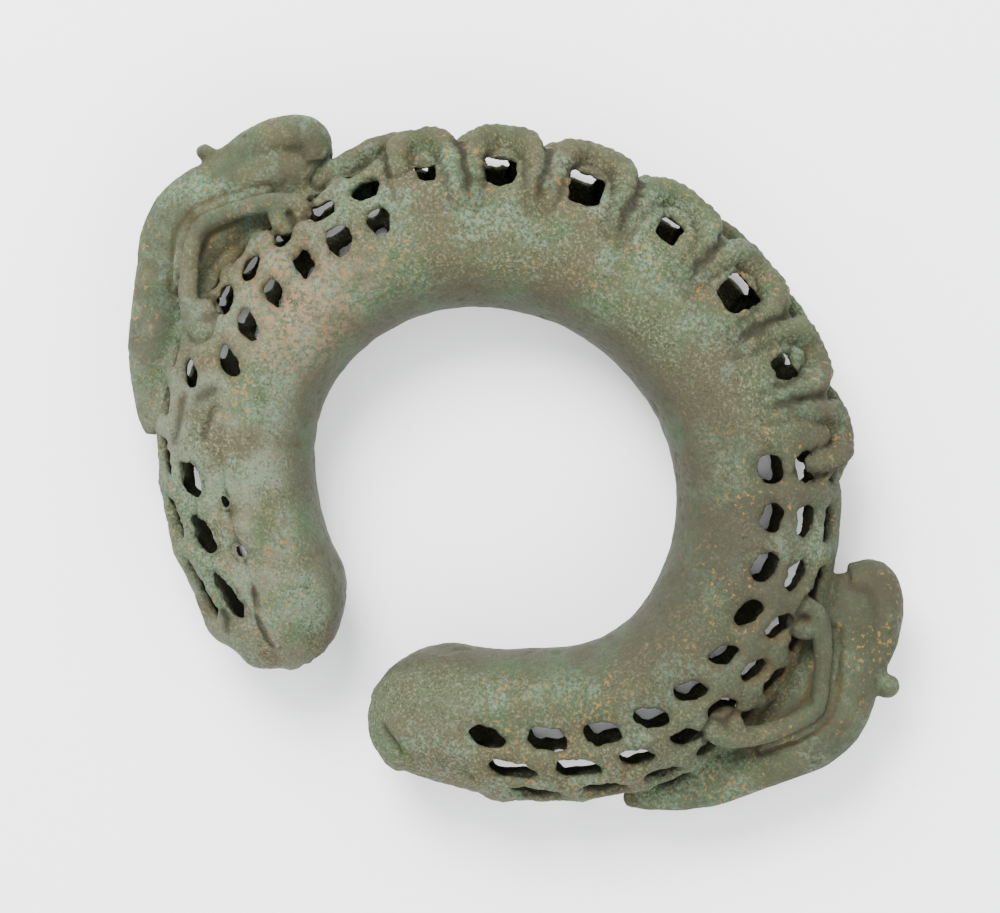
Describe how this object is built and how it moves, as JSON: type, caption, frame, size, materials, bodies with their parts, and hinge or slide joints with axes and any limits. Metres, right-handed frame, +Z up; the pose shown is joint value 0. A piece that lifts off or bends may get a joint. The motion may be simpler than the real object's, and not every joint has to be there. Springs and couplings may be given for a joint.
{
  "type": "currency bracelet",
  "caption": "Hollow cast-bronze open ring, smooth at the wrist and openwork outside, with a crest of corded loops and a bird on each flank.",
  "frame": {"origin": "middle of the flat underside's bounding box, on the surface that the bracelet lies on", "axes": "+Z up from the surface it lies on, -Y towards the gap between the tips, X across the two birds"},
  "size_m": [0.1498, 0.1088, 0.026],
  "materials": {
    "patinated_bronze": "matt, pitted grey-green patina with ochre and pale green spots"
  },
  "bodies": {
    "root": {"bracelet_casting": "patinated_bronze"}
  },
  "joints": []
}
